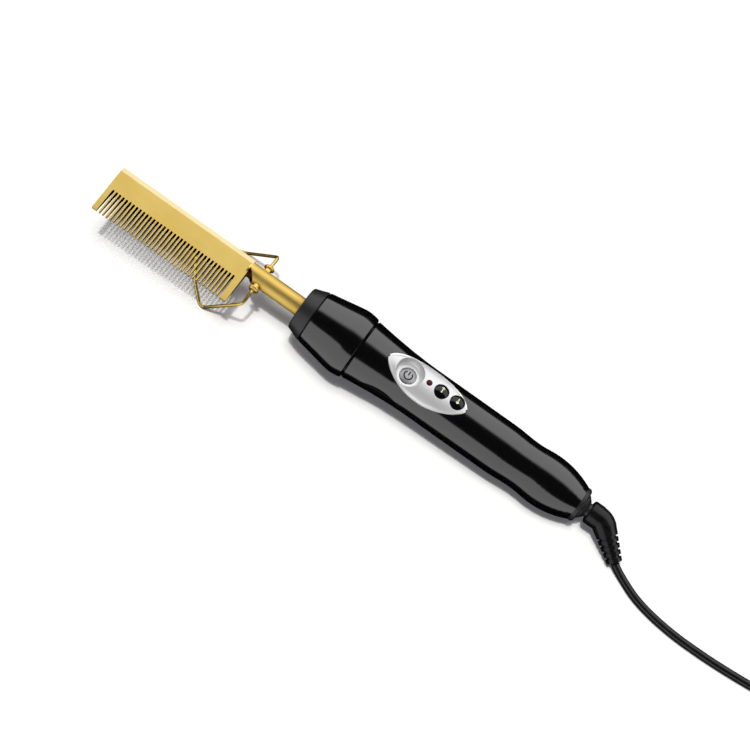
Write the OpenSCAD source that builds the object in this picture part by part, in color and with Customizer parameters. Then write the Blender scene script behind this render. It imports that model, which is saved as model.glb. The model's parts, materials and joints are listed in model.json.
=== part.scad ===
// Electric pressing comb, in millimetres.
//
// A heated comb sits on a slim tube. The tube runs into a flared nose guard and a
// round grip made of two half shells. A leaf-shaped panel on top holds the buttons,
// a wire stand folds on the tube, and the cord leaves through a swivel.
//
// The pieces are drawn in the tool's own frame: +X runs from the comb's front end to
// the cord along the tool's axis, the teeth point to -Y and the panel faces +Z.
// in_tool_frame() then tips the tool the little that makes it rest on its stand and on
// the bulge of its grip, with the table at z = 0.

/* [Comb] */
// Length of the comb
comb_l = 85.9; // [84.5:0.1:86.5]
// Thickness of the comb's back
comb_t = 8.5; // [7.5:0.1:9]
// Distance from the tool's axis to the edge of the back
spine_y = 5.5; // [5.4:0.1:7]
// Distance from the tool's axis to the roots of the teeth
tooth_root_y = 8.6; // [8:0.1:11]
// Distance from the tool's axis to the tips of the teeth
tooth_tip_y = 22.8; // [20:0.1:28]
// Thickness of a tooth at its tip
tooth_tip_t = 2; // [1:0.1:3]
// Width of the bevels along the back
bevel_w = 3; // [1:0.1:4]
// Depth of the bevels along the back
bevel_t = 1.1; // [0.5:0.1:1.5]
// Number of gaps between the teeth
gap_count = 36; // [20:1:36]
// Distance from one gap to the next
gap_pitch = 2.22; // [2:0.01:2.22]
// Width of a gap at the roots of the teeth
gap_root_w = 1.25; // [0.8:0.05:1.25]
// Width of a gap at the tips of the teeth
gap_tip_w = 1.45; // [1.2:0.05:1.5]
// Width of the end tooth at the front
front_tooth_w = 3.1; // [2.5:0.1:3.2]
// Length of the slanted cut where the tube meets the comb
mitre_l = 5.4; // [3:0.1:5.4]

/* [Tube] */
// Outside diameter of the tube
tube_d = 10.7; // [10.2:0.1:10.8]
// Wall of the tube
tube_wall = 0.8; // [0.6:0.1:0.8]
// Where the tube ends inside the nose
tube_end_x = 152.4; // [152:0.1:154]

/* [Stand] */
// Diameter of the stand's wire
wire_d = 1.8; // [1.6:0.1:1.8]
// Clearance round the wire in its bosses, on the radius
wire_fit = 0.05; // [0.03:0.01:0.08]
// Where the stand is hinged, along the tool
pivot_x = 93.7; // [93:0.1:95]
// Height of the hinge over the tool's axis
pivot_z = 0.5; // [0:0.1:1]
// Distance from the axis to the end of the wire's straight pin
pin_end_y = 10.2; // [9.8:0.1:11]
// Shoulder bend of the wire: how far it is in front of the hinge
shoulder_ahead = 0.1; // [0:0.1:3]
// Shoulder bend of the wire: distance from the tool's axis
shoulder_y = 17.5; // [17:0.1:19]
// Shoulder bend of the wire: how far it is below the hinge
shoulder_drop = 2.3; // [1:0.1:3]
// Foot bend of the wire: how far it is in front of the hinge
foot_ahead = 19.9; // [18:0.1:21]
// Foot bend of the wire: distance from the tool's axis
foot_y = 21; // [19:0.1:23]
// Foot bend of the wire: how far it is below the hinge
foot_drop = 29.4; // [28:0.1:31]
// Knee bend of the wire: how far it is in front of the hinge
knee_ahead = 30.2; // [29:0.1:31.5]
// Knee bend of the wire: distance from the tool's axis
knee_y = 13.8; // [13.5:0.1:15]
// Knee bend of the wire: how far it is below the hinge
knee_drop = 19.9; // [19:0.1:21]
// Bow that lies under the comb: how far it is in front of the hinge
bow_ahead = 38; // [36:0.1:40]
// Bow that lies under the comb: distance of its corners from the tool's axis
bow_y = 4.5; // [3.5:0.1:5.5]
// Gap between the bow and the comb
bow_gap = 0.3; // [0.3:0.05:0.5]

/* [Grip] */
// Front face of the ring at the nose
ring_x = 119.6; // [118:0.1:120]
// Seam between the front ring and the nose
nose_x = 128; // [127:0.1:129]
// Seam between the nose and the grip
grip_x = 157.6; // [157:0.1:158]
// Rear face of the grip's shells
shell_end_x = 298; // [297.5:0.1:298.5]
// Rear face of the end ring
end_x = 300.8; // [300.3:0.1:301]
// Width of the fine seams of the panel
seam = 0.2; // [0.1:0.05:0.3]
// Width of the seam between the front ring and the nose
ring_seam = 0.5; // [0.3:0.1:0.6]
// Width of the seam between the nose and the grip
guard_seam = 0.8; // [0.4:0.1:1]
// Chamfer along both sides of that seam
seam_edge = 0.4; // [0.2:0.1:0.5]
// Wall of the shells
wall = 2.2; // [2:0.1:2.4]
// Radius of the bulge near the rear end
bulge_r = 14.8; // [14.5:0.1:15]
// Where the bulge is widest
bulge_x = 277; // [276:0.5:278]
// Radius of the bulge's outline
bulge_arc = 50; // [46:1:52]

/* [Controls] */
// Middle of the panel, along the tool
panel_x = 197.3; // [196:0.1:199]
// Length of the panel from blunt tip to blunt tip
panel_l = 49.6; // [48:0.1:50]
// Width of the panel
panel_w = 20.2; // [19.5:0.1:20.6]
// How far the panel's middle line lies on the teeth's side of the tool's axis
panel_side = 1.2; // [0.8:0.1:1.4]
// How far the panel stands out of the grip
panel_proud = 0.35; // [0.2:0.05:0.5]
// How far the panel's rim stands over the panel
rim_proud = 0.4; // [0.2:0.05:0.5]
// Width of the panel's rim
rim_w = 1; // [0.7:0.1:1.2]
// Where the dish of the power button lies
dish_x = 186.6; // [186:0.1:187]
// How far the dish lies on the teeth's side of the tool's axis
dish_side = 1; // [0.6:0.1:1.1]
// Diameter of the dish
dish_d = 16.4; // [16:0.1:16.6]
// Diameter of the power button
power_d = 9; // [8:0.1:9]
// Where the pilot light lies
led_x = 197.9; // [197.5:0.1:198.3]
// Diameter of the pilot light
led_d = 3.4; // [2.8:0.1:3.6]
// Where the button for more heat lies
heat_up_x = 205.7; // [205.4:0.1:206.4]
// Where the button for less heat lies
heat_down_x = 215.7; // [215.4:0.1:216.4]
// Diameter of a heat button
heat_d = 7.8; // [7:0.1:8]
// Travel of every button
press = 0.6; // [0.4:0.1:0.6]
// Clearance round a button
button_gap = 0.3; // [0.3:0.05:0.4]

/* [Grip insets] */
// Middle of the ribbed insets, along the tool
inset_x = 178.9; // [176:0.1:181]
// Length of an inset
inset_l = 28.8; // [24:0.1:32]
// Height of an inset
inset_h = 9.3; // [8:0.1:10]

/* [Cord end] */
// Diameter of the swivel's neck
neck_d = 9.5; // [9:0.1:9.6]
// Running clearance of the neck, on the radius
neck_fit = 0.05; // [0.03:0.01:0.08]
// Largest diameter of the swivel's cap
cap_d = 14; // [13:0.1:14.5]
// Front face of the boot
boot_x = 305.3; // [305:0.1:306]
// Diameter of the boot
boot_d = 13.3; // [13.1:0.1:14]
// Diameter of the boot's bent tail at its root
tail_root_d = 13; // [12.4:0.1:13]
// Diameter of the boot's bent tail at its tip
tail_tip_d = 8.4; // [8:0.1:9]
// Length of the straight part of the tail
tail_l = 20.2; // [19.5:0.1:21]
// Turn of the boot's tail below the horizontal
boot_roll = 30; // [0:1:30]
// Diameter of the cord
cord_d = 4.5; // [4:0.1:5]

/* [Cord coil] */
// Radius to the middle of the coil's innermost turn
coil_in_r = 19.5; // [18:0.5:24]
// Turns side by side in a layer
coil_rows = 4; // [3:1:5]
// Layers on top of each other
coil_layers = 4; // [3:1:5]

/* [Hidden] */
$fn = 48;

gold = [0.84, 0.68, 0.32];
black = [0.09, 0.09, 0.1];
silver = [0.82, 0.82, 0.84];
eps = 0.01;
far = 60; // half the side of a cube that is larger than the tool is thick

nose_front_r = 15.2;
nose_front_slope = 0.18;
nose_rear_r = 18.4;
grip_front = grip_x + guard_seam / 2;
grip_front_r = 17.6;
// Outlines of the nose and the grip as knots: [place along the tool, radius, slope]
nose_knots = [
    [nose_x, nose_front_r, nose_front_slope],
    [139, 17.2, 0.185],
    [146.5, 18.6, 0.16],
    [150.6, 19.1, 0],
    [grip_x, 18.2, -0.25]
];
waist_x = 263;
bulge_start_x = 270;
bulge_rise = bulge_start_x - bulge_x;
grip_knots = [
    [grip_x, 17.7, -0.12],
    [198, 14.7, 0],
    [248, 14.7, 0],
    [waist_x, 13.9, 0],
    [bulge_start_x, bulge_outline(bulge_start_x), -bulge_rise / sqrt(pow(bulge_arc, 2) - pow(bulge_rise, 2))]
];
span_steps = 5;
bulge_steps = 9;

// ---- Outlines ----

// Radius between the knots a and b, on the cubic that meets both radii and slopes
function between(a, b, u) =
    let (w = b[0] - a[0])
    (1 + 2 * u) * pow(1 - u, 2) * a[1]
    + u * pow(1 - u, 2) * w * a[2]
    + u * u * (3 - 2 * u) * b[1]
    + u * u * (u - 1) * w * b[2];

function is_straight(a, b) = a[1] == b[1] && a[2] == 0 && b[2] == 0;

// Points [radius, x] along a list of knots, grown by d
function knot_points(knots, d = 0) = [
    for (i = [0:len(knots) - 2])
        let (
            a = knots[i],
            b = knots[i + 1],
            steps = is_straight(a, b) ? 1 : span_steps
        )
        for (k = [0:steps - 1])
            [between(a, b, k / steps) + d, a[0] + (b[0] - a[0]) * k / steps]
];

function bulge_outline(x) =
    bulge_r - bulge_arc + sqrt(pow(bulge_arc, 2) - pow(x - bulge_x, 2));

function grip_points(d) = [
    each knot_points(grip_knots, d),
    for (k = [0:bulge_steps])
        let (x = bulge_start_x + (shell_end_x - bulge_start_x) * k / bulge_steps)
        [bulge_outline(x) + d, x]
];

// ---- Plain helpers ----

function unit(v) = v / norm(v);

module rod_x(x0, x1, r) {
    translate([x0, 0, 0]) rotate([0, 90, 0]) cylinder(h = x1 - x0, r = r);
}

module rod_x_cone(x0, x1, r0, r1) {
    translate([x0, 0, 0]) rotate([0, 90, 0]) cylinder(h = x1 - x0, r1 = r0, r2 = r1);
}

module rod_z(z0, z1, r) {
    translate([0, 0, z0]) cylinder(h = z1 - z0, r = r);
}

module tube_x(x0, x1, r_out, r_in) {
    difference() {
        rod_x(x0, x1, r_out);
        rod_x(x0 - 1, x1 + 1, r_in);
    }
}

// A block between two corners
module block(low, high) {
    translate(low) cube(high - low);
}

// The ring of points round point i of a route, for a tube of radius r
function ring_points(route, i, r, sides) =
    let (
        way = unit(route[min(i + 1, len(route) - 1)] - route[max(i - 1, 0)]),
        side = unit(cross([0, 0, 1], way)),
        up = cross(way, side)
    )
    [for (k = [0:sides - 1]) route[i] + r * (cos(k * 360 / sides) * side + sin(k * 360 / sides) * up)];

// A tube along a route, as one polyhedron, with its two ends slimmer by the taper
module swept_tube(route, r, sides, taper = 0) {
    last = len(route) - 1;
    polyhedron(
        points = [
            for (i = [0:last])
                each ring_points(route, i, i == 0 || i == last ? r - taper : r, sides)
        ],
        faces = [
            [for (k = [0:sides - 1]) k],
            for (i = [0:last - 1], k = [0:sides - 1])
                let (a = i * sides + k, b = i * sides + (k + 1) % sides)
                [a, a + sides, b + sides, b],
            [for (k = [sides - 1:-1:0]) last * sides + k]
        ]
    );
}

// An outline of [radius, x] points turned about the tool's axis
module turned(points) {
    rotate([0, 90, 0]) rotate_extrude() polygon(points);
}

// The solid inside the grip's outline, grown by d
module grip_solid(d = 0) {
    turned([[0, grip_x], each grip_points(d), [0, shell_end_x]]);
}

// A prism along Z whose outline is two equal arcs, like a leaf
module leaf(length, width, height) {
    arc_r = (pow(length / 2, 2) + pow(width / 2, 2)) / width;
    intersection() {
        translate([0, arc_r - width / 2, 0]) cylinder(h = height, r = arc_r, $fn = 160);
        translate([0, width / 2 - arc_r, 0]) cylinder(h = height, r = arc_r, $fn = 160);
    }
}

// ---- How the tool rests ----

wire_r = wire_d / 2;
pivot = [pivot_x, 0, pivot_z];
bow_z = -comb_t / 2 - bow_gap - wire_r;
stand_bend_r = 3.5;
pin_start_y = 4.6;
pin_l = 4.8;
wire_step = 14; // degrees of a bend between two rings
// Bends of the wire from one end to the other
half_wire = [
    pivot + [0, pin_start_y, 0],
    pivot + [0, pin_end_y, 0],
    pivot + [-shoulder_ahead, shoulder_y, -shoulder_drop],
    pivot + [-foot_ahead, foot_y, -foot_drop],
    pivot + [-knee_ahead, knee_y, -knee_drop],
    [pivot_x - bow_ahead, bow_y, bow_z]
];
half_bends = [0, stand_bend_r, stand_bend_r, stand_bend_r, 20, 7];
wire_points = [
    for (p = half_wire) [p[0], -p[1], p[2]],
    for (i = [len(half_wire) - 1:-1:0]) half_wire[i]
];
wire_bends = concat(half_bends, [for (i = [len(half_bends) - 1:-1:0]) half_bends[i]]);

// Frame of the bend at corner b between a and c: [start, middle, end, turn, travel]
function bend(a, b, c, r) =
    let (
        back = unit(a - b),
        on = unit(c - b),
        inner = acos(back * on),
        reach = r / tan(inner / 2)
    )
    [b + back * reach, b + unit(back + on) * r / sin(inner / 2), b + on * reach, 180 - inner, -back];

// Lowest point of the foot's bend below its own middle, on the wire's skin
foot_bend = bend(half_wire[2], half_wire[3], half_wire[4], stand_bend_r);
foot_plane = unit(cross(foot_bend[0] - foot_bend[1], foot_bend[2] - foot_bend[1]));
foot_sole = stand_bend_r * sqrt(1 - pow(foot_plane[2], 2)) + wire_r;

// The table is the line that touches the foot's bend and the grip's bulge from below
rest_x = bulge_x - foot_bend[1][0];
rest_z = bulge_arc - bulge_r - foot_bend[1][2];
pitch = acos((bulge_arc - foot_sole) / norm([rest_x, rest_z])) - atan2(rest_x, rest_z);
lift = bulge_arc + bulge_x * sin(pitch) - (bulge_arc - bulge_r) * cos(pitch);

// Middle of the tool's box on the table
elbow_r = 7.2;
elbow_x = 311.7;
elbow_turn = 39;
tail_x = elbow_x + elbow_r * sin(elbow_turn);
tail_off = elbow_r * (1 - cos(elbow_turn));
tip_x = tail_x + tail_l * cos(elbow_turn);
tip_off = tail_off + tail_l * sin(elbow_turn);
low_x = -comb_t / 2 * sin(pitch);
high_x = (tip_x + tail_tip_d / 2 * sin(elbow_turn)) * cos(pitch)
    - tip_off * sin(boot_roll) * sin(pitch);
foot_side = foot_bend[1][1] + stand_bend_r * sqrt(1 - pow(foot_plane[1], 2)) + wire_r;
centre_x = (low_x + high_x) / 2;
centre_y = (foot_side - tooth_tip_y) / 2;

module in_tool_frame() {
    translate([-centre_x, -centre_y, lift]) rotate([0, pitch, 0]) children();
}

// ---- Comb ----

bore_r = 2.8;
bore_start_x = 5;
spigot_end_x = comb_l + 5.4;
gap_start_x = front_tooth_w + gap_root_w / 2;

// A gap between two teeth: a round root that widens towards the tips
module tooth_gap() {
    gap_l = tooth_tip_y - tooth_root_y + 1;
    translate([0, 0, -comb_t]) {
        translate([0, -tooth_root_y - gap_root_w / 2, 0]) cylinder(h = 2 * comb_t, d = gap_root_w, $fn = 16);
        translate([0, -tooth_root_y - gap_root_w / 2, 0]) linear_extrude(2 * comb_t)
            polygon([
                [-gap_root_w / 2, 0],
                [gap_root_w / 2, 0],
                [gap_tip_w / 2, -gap_l],
                [-gap_tip_w / 2, -gap_l]
            ]);
    }
}

// The slanted cut on the teeth's side of the tube's front end, down to the core round the bore
module mitre_space() {
    difference() {
        translate([comb_l, 0, -tube_d]) linear_extrude(2 * tube_d)
            polygon([[0, 0], [mitre_l + 1, -mitre_l - 1], [0, -mitre_l - 1]]);
        rod_x(comb_l - 1, comb_l + mitre_l + 2, bore_r + 0.7);
    }
}

module comb_plate() {
    half_t = comb_t / 2;
    half_tip = tooth_tip_t / 2;
    color(gold) in_tool_frame() difference() {
        union() {
            rotate([90, 0, 90]) linear_extrude(comb_l) polygon([
                [spine_y, bevel_t - half_t],
                [spine_y, half_t - bevel_t],
                [spine_y - bevel_w, half_t],
                [-tooth_tip_y, half_tip],
                [-tooth_tip_y, -half_tip],
                [spine_y - bevel_w, -half_t]
            ]);
            difference() {
                rod_x(comb_l - 1, spigot_end_x, tube_d / 2 - tube_wall);
                mitre_space();
            }
        }
        rod_x(bore_start_x, spigot_end_x + 1, bore_r);
        for (i = [0:gap_count - 1])
            translate([gap_start_x + i * gap_pitch, 0, 0]) tooth_gap();
    }
}

heater_end_x = 78;
sensor_end_x = 82.4;
lead_side = 1.1;

module heater_element() {
    color("lightgray") in_tool_frame() rod_x(bore_start_x + 1, heater_end_x, bore_r - 0.05);
}

module heat_sensor() {
    color("saddlebrown") in_tool_frame()
        translate([0, 0, -lead_side]) rod_x(heater_end_x + 0.4, sensor_end_x, 1.2);
}

board_low = [172, -8.5, 1];
board_high = [226, 8.5, 2.6];

// Places of the leads where they pass the first screw's post: [place along the tool, distance from the axis]
heater_lead_way = [[heater_end_x, lead_side], [158, lead_side], [163, 4.4], [board_low[0], 4.4]];
sensor_lead_way = [[sensor_end_x, 0.62], [157, 0.62], [162.5, 5.3], [168, 5.3], [board_low[0], 3.4]];

// Two round wires, one on each side of the tool's middle, at the height z
module wire_pair(way, z, r) {
    for (side = [-1, 1]) swept_tube([for (p = way) [p[0], side * p[1], z]], r, 10);
}

module heater_leads() {
    color("white") in_tool_frame() wire_pair(heater_lead_way, lead_side, 0.55);
}

module sensor_leads() {
    color("khaki") in_tool_frame() wire_pair(sensor_lead_way, -lead_side, 0.45);
}

// ---- Tube and stand ----

boss_shank_r = 1.9;
boss_start_y = 4.3;
boss_neck_y = 6.8;
boss_end_y = 8.6;
boss_r = 3;

module stem_tube() {
    color(gold) in_tool_frame() difference() {
        tube_x(comb_l, tube_end_x, tube_d / 2, tube_d / 2 - tube_wall);
        mitre_space();
        translate(pivot) rotate([90, 0, 0]) cylinder(h = tube_d + 2, r = boss_shank_r, center = true);
    }
}

// A riveted boss with a round rim, drawn along +Y on the far side
module stand_boss() {
    translate(pivot) rotate([-90, 0, 0]) rotate_extrude() polygon([
        [wire_r + wire_fit, boss_start_y],
        [boss_shank_r, boss_start_y],
        [boss_shank_r, boss_neck_y],
        [boss_r - 0.4, boss_neck_y],
        [boss_r, boss_neck_y + 0.4],
        [boss_r, boss_end_y - 0.9],
        [boss_r - 0.3, boss_end_y - 0.35],
        [boss_r - 0.9, boss_end_y],
        [wire_r + wire_fit, boss_end_y]
    ]);
}

module near_stand_boss() {
    color(gold) in_tool_frame() mirror([0, 1, 0]) stand_boss();
}

module far_stand_boss() {
    color(gold) in_tool_frame() stand_boss();
}

// Points along the wire: its bends as arcs, joined by straight lengths
function wire_path() = [
    for (i = [1:len(wire_points) - 2])
        let (
            b = bend(wire_points[i - 1], wire_points[i], wire_points[i + 1], wire_bends[i]),
            steps = ceil(b[3] / wire_step)
        )
        for (k = [0:steps])
            b[1] + (b[0] - b[1]) * cos(b[3] * k / steps)
            + b[4] * wire_bends[i] * sin(b[3] * k / steps)
];

// The straight pin that turns in a boss; the bent wire starts inside its end
module wire_pin(side) {
    translate(pivot) rotate([-90 * side, 0, 0])
        translate([0, 0, pin_start_y]) cylinder(h = pin_l, r = wire_r);
}

module stand_wire() {
    path = wire_path();
    ends = [path[0], path[len(path) - 1]];
    inside = [for (p = ends) [p[0], sign(p[1]) * (pin_start_y + pin_l - 0.4), p[2]]];
    color(gold) in_tool_frame() {
        for (side = [-1, 1]) wire_pin(side);
        swept_tube([inside[0], each path, inside[1]], wire_r, 12, 0.03);
    }
}

// ---- Nose ----

ring_bore_r = 8;
ring_spigot_r = 13;
ring_spigot_x = nose_x + 3.4;
nose_wall = 2.4;
flange_x = 150;
flange_r = 14.5;
collar_r = 16.9; // floor of the groove at the seam
lip_r = 14.9;
lip_in_r = 13.4;
lip_end_x = grip_x + 3.9;

module insulating_sleeve() {
    color("ivory") in_tool_frame() difference() {
        union() {
            rod_x(ring_x + 1.6, flange_x, ring_bore_r);
            rod_x(ring_spigot_x, ring_spigot_x + 2.5, ring_bore_r + 1.5);
        }
        rod_x(ring_x, flange_x + 1, tube_d / 2);
    }
}

module stem_flange() {
    color("silver") in_tool_frame() tube_x(flange_x, flange_x + 1.6, flange_r, tube_d / 2);
}

module front_ring() {
    edge_r = 1.5;
    front_r = 12.8;
    color([0.12, 0.12, 0.12]) in_tool_frame() turned([
        [ring_bore_r, ring_x],
        for (a = [0:15:90])
            [front_r - edge_r + edge_r * sin(a), ring_x + edge_r - edge_r * cos(a)],
        [nose_front_r, nose_x - ring_seam / 2],
        [ring_spigot_r, nose_x - ring_seam / 2],
        [ring_spigot_r, ring_spigot_x],
        [ring_bore_r, ring_spigot_x]
    ]);
}

module nose_cone() {
    nose_front = nose_x + ring_seam / 2;
    nose_rear = grip_x - guard_seam / 2;
    outer = [for (p = knot_points(nose_knots)) if (p[1] > nose_x + 1) p];
    color(black) in_tool_frame() difference() {
        union() {
            turned([
                [0, nose_front],
                [nose_front_r - seam_edge, nose_front],
                [nose_front_r + seam_edge * nose_front_slope, nose_front + seam_edge],
                each outer,
                [nose_rear_r, nose_rear - seam_edge],
                [nose_rear_r - seam_edge, nose_rear],
                [0, nose_rear]
            ]);
            rod_x(nose_rear - 1, grip_front - 0.05, collar_r);
            rod_x(grip_x - 1, lip_end_x, lip_r);
        }
        rod_x(nose_x - 1, ring_spigot_x, ring_spigot_r);
        turned([
            [0, ring_spigot_x - eps],
            [lip_in_r, ring_spigot_x - eps],
            for (p = outer) if (p[1] > ring_spigot_x + 2 && p[1] < flange_x - 4) [p[0] - nose_wall, p[1]],
            [16, flange_x - 2],
            [12.5, flange_x - 2],
            [12.5, flange_x],
            [16, flange_x],
            [16, grip_x - 3],
            [lip_in_r, grip_x - 2],
            [lip_in_r, lip_end_x + 1],
            [0, lip_end_x + 1]
        ]);
    }
}

// ---- Grip ----

screw_x = [166.5, 236, 270];
post_r = 3;
well_r = 3.1;
pilot_r = 1.3;
head_z = -6.5;
seat_r = 8.2;
seat_x = 277;
neck_seat_x = 294;
neck_seat_r = 7;
panel_seat = 1.6;
leaf_tip = 0.6; // power that shapes the panel's outline: 0.5 is an ellipse, 1 is two parabolas
dish_r = dish_d / 2;
dish_at = [dish_x, -dish_side, 0];
post_x = [board_low[0] + 3.5, board_high[0] - 2];
heat_x = [heat_up_x, heat_down_x];

// The hollow shell of the grip, both halves together
module shell_blank() {
    difference() {
        grip_solid();
        turned([
            [0, lip_end_x],
            [lip_in_r, lip_end_x],
            for (p = grip_points(-wall)) if (p[1] > lip_end_x && p[1] < seat_x) p,
            [bulge_outline(seat_x) - wall, seat_x],
            [0, seat_x]
        ]);
        rod_x(grip_x - 1, lip_end_x + eps, lip_r);
        rod_x(seat_x - 1, neck_seat_x, seat_r);
        rod_x(neck_seat_x - 1, shell_end_x + 1, neck_seat_r);
        difference() {
            rod_x(grip_x - 1, grip_front + seam_edge, far);
            rod_x_cone(grip_front, grip_front + seam_edge + eps, grip_front_r - seam_edge, grip_front_r);
        }
        for (side = [-1, 1]) inset_space(side, inset_depth);
    }
}

module upper_half() {
    block([0, -far, 0], [350, far, far]);
}

module lower_half() {
    block([0, -far, -far], [350, far, 0]);
}

// Half the panel's width at the share u of its half length
function panel_half(u) = panel_w / 2 * pow(1 - u * u, leaf_tip);

// The leaf that the panel fills, grown all round by gap
module panel_leaf(gap = 0) {
    half_l = panel_l / 2;
    edge = [for (u = [-0.99, -0.96, each [-0.9:0.1:0.9], 0.96, 0.99]) [u * half_l, panel_half(u)]];
    translate([panel_x, -panel_side, 0]) linear_extrude(far) offset(delta = gap) polygon([
        [-half_l, 0.8],
        each edge,
        [half_l, 0.8],
        [half_l, -0.8],
        for (i = [len(edge) - 1:-1:0]) [edge[i][0], -edge[i][1]],
        [-half_l, -0.8]
    ]);
}

// Holes for the dish, the light and the heat buttons
module control_holes(dish_hole, led_hole, heat_hole) {
    translate(dish_at) rod_z(0, far, dish_hole);
    translate([led_x, 0, 0]) rod_z(0, far, led_hole);
    for (x = heat_x) translate([x, 0, 0]) rod_z(0, far, heat_hole);
}

module upper_shell() {
    color(black) in_tool_frame() difference() {
        union() {
            difference() {
                intersection() {
                    shell_blank();
                    upper_half();
                }
                difference() {
                    panel_leaf(seam / 2);
                    grip_solid(-panel_seat);
                }
                control_holes(dish_r + 0.2, led_d / 2 + 0.2, heat_d / 2 + button_gap + 0.1);
            }
            intersection() {
                grip_solid(-panel_seat - 0.3);
                union() {
                    for (x = screw_x) translate([x, 0, 0]) rod_z(0, far, post_r);
                    for (x = post_x) translate([x, 0, 0]) rod_z(board_high[2], far, 1.7);
                }
            }
        }
        for (x = screw_x) translate([x, 0, 0]) rod_z(-1, 8, pilot_r);
    }
}

module lower_shell() {
    color(black) in_tool_frame() difference() {
        union() {
            intersection() {
                shell_blank();
                lower_half();
            }
            intersection() {
                grip_solid(-1);
                for (x = screw_x) translate([x, 0, 0]) rod_z(-far, 0, well_r + 1.1);
            }
        }
        for (x = screw_x) translate([x, 0, 0]) {
            rod_z(-far, head_z, well_r);
            rod_z(-far, 1, pilot_r + 0.3);
        }
    }
}

module shell_screws() {
    color("dimgray") in_tool_frame() for (x = screw_x) translate([x, 0, 0]) {
        rod_z(head_z - 2, head_z, 2.7);
        rod_z(head_z, 7.5, pilot_r);
    }
}

inset_depth = 1.9;
inset_skin = 0.9;
rib_skin = 0.3;
rib_h = 1;
rib_z = [-2.3, 0, 2.3];

// The space between depth d under the grip's surface and the open air, within the leaf
module inset_space(side, d) {
    difference() {
        translate([inset_x, 0, 0]) rotate([side > 0 ? -90 : 90, 0, 0]) leaf(inset_l, inset_h, far);
        grip_solid(-d);
    }
}

module grip_insert(side) {
    intersection() {
        inset_space(side, inset_depth);
        grip_solid(-inset_skin);
    }
    intersection() {
        inset_space(side, inset_skin);
        grip_solid(-rib_skin);
        for (z = rib_z) block([0, -far, z - rib_h / 2], [350, far, z + rib_h / 2]);
    }
}

module near_grip_insert() {
    color([0.07, 0.07, 0.07]) in_tool_frame() grip_insert(-1);
}

module far_grip_insert() {
    color([0.07, 0.07, 0.07]) in_tool_frame() grip_insert(1);
}

// ---- Control panel ----

floor_z = 8.9;
floor_t = 1.2;
dish_low_z = 5.9;
panel_top_z = 14.7 + panel_proud;
notch_r = 0.8;

module control_panel() {
    color(silver) in_tool_frame() difference() {
        intersection() {
            difference() {
                panel_leaf();
                grip_solid(-panel_seat);
            }
            grip_solid(panel_proud + rim_proud);
        }
        difference() {
            panel_leaf(-rim_w);
            grip_solid(panel_proud);
        }
        control_holes(dish_r, led_d / 2, heat_d / 2 + button_gap);
        for (side = [-1, 1])
            translate([panel_x + side * (panel_l / 2 + 0.2), -panel_side, 0]) rod_z(0, far, notch_r);
    }
}

// A round scoop with a floor for the power button
module power_dish() {
    bowl_r = 5;
    scoop_in_r = power_d / 2 + 0.7;
    color(silver) in_tool_frame() difference() {
        intersection() {
            translate(dish_at) rod_z(dish_low_z, far, dish_r);
            grip_solid(panel_proud);
        }
        translate(dish_at) {
            rotate_extrude() polygon([
                [0, floor_z],
                for (a = [0:15:60])
                    [scoop_in_r + bowl_r * sin(a) * 0.62, floor_z + bowl_r * (1 - cos(a))],
                [dish_r - 0.25, panel_top_z + 3],
                [0, panel_top_z + 3]
            ]);
            rod_z(0, far, power_d / 2 + button_gap);
            rod_z(0, floor_z - floor_t, dish_r - 1.2);
        }
    }
}

// A button drawn on its own axis: a domed cap, a retaining flange and a stem
module push_button(cap_d, cap_z, dome, flange_z, stem_z) {
    cap_r = cap_d / 2;
    dome_r = (pow(cap_r, 2) + pow(dome, 2)) / (2 * dome);
    flange_t = 1;
    intersection() {
        rod_z(flange_z, cap_z + dome + 1, cap_r);
        translate([0, 0, cap_z + dome - dome_r]) sphere(r = dome_r, $fn = 96);
    }
    rod_z(flange_z - flange_t, flange_z, cap_r + 0.9);
    rod_z(stem_z, flange_z - flange_t, 1.6);
}

power_cap_z = 9.3;
heat_cap_z = 14.7;
heat_dome = 1.5;
power_switch_z = 4.1;
heat_switch_z = 7.6;
stem_gap = press + 0.3;

module power_button() {
    color([0.7, 0.7, 0.72]) in_tool_frame() translate(dish_at)
        push_button(power_d, power_cap_z, 0.5, floor_z - floor_t - 0.4, power_switch_z + stem_gap);
}

module heat_button(x) {
    color(black) in_tool_frame() translate([x, 0, 0])
        push_button(heat_d, heat_cap_z, heat_dome, 11.1, heat_switch_z + stem_gap);
}

module heat_up_button() {
    heat_button(heat_x[0]);
}

module heat_down_button() {
    heat_button(heat_x[1]);
}

module led_lens() {
    lens_r = led_d / 2;
    color("darkred") in_tool_frame() translate([led_x, 0, 0]) {
        intersection() {
            rod_z(11.6, far, lens_r);
            translate([0, 0, panel_top_z + 0.35 - 4]) sphere(r = 4);
        }
        rod_z(11, 12, lens_r + 0.7);
    }
}

// ---- Electronics ----

module circuit_board() {
    color("darkgreen") in_tool_frame() block(board_low, board_high);
}

module tact_switch(place, top_z) {
    translate(place) {
        block([-3, -3, board_high[2]], [3, 3, top_z - 0.5]);
        rod_z(top_z - 0.5, top_z, 1.7);
    }
}

module tact_switches() {
    color("dimgray") in_tool_frame() {
        tact_switch(dish_at, power_switch_z);
        for (x = heat_x) tact_switch([x, 0, 0], heat_switch_z);
    }
}

module pilot_led() {
    color("tomato") in_tool_frame() translate([led_x, 0, 0]) {
        rod_z(board_high[2], 9, 1.5);
        translate([0, 0, 9]) sphere(r = 1.5);
    }
}

module control_chip() {
    color("black") in_tool_frame() block([197, -3, board_low[2] - 1.2], [203, 3, board_low[2]]);
}

module triac() {
    color("black") in_tool_frame() block([208, -5, -8], [212.5, 5, board_low[2]]);
}

module lead_connector() {
    color("white") in_tool_frame()
        block([board_low[0], -4, board_low[2] - 3], [board_low[0] + 6, 4, board_low[2]]);
}

// ---- Swivel ----

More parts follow.
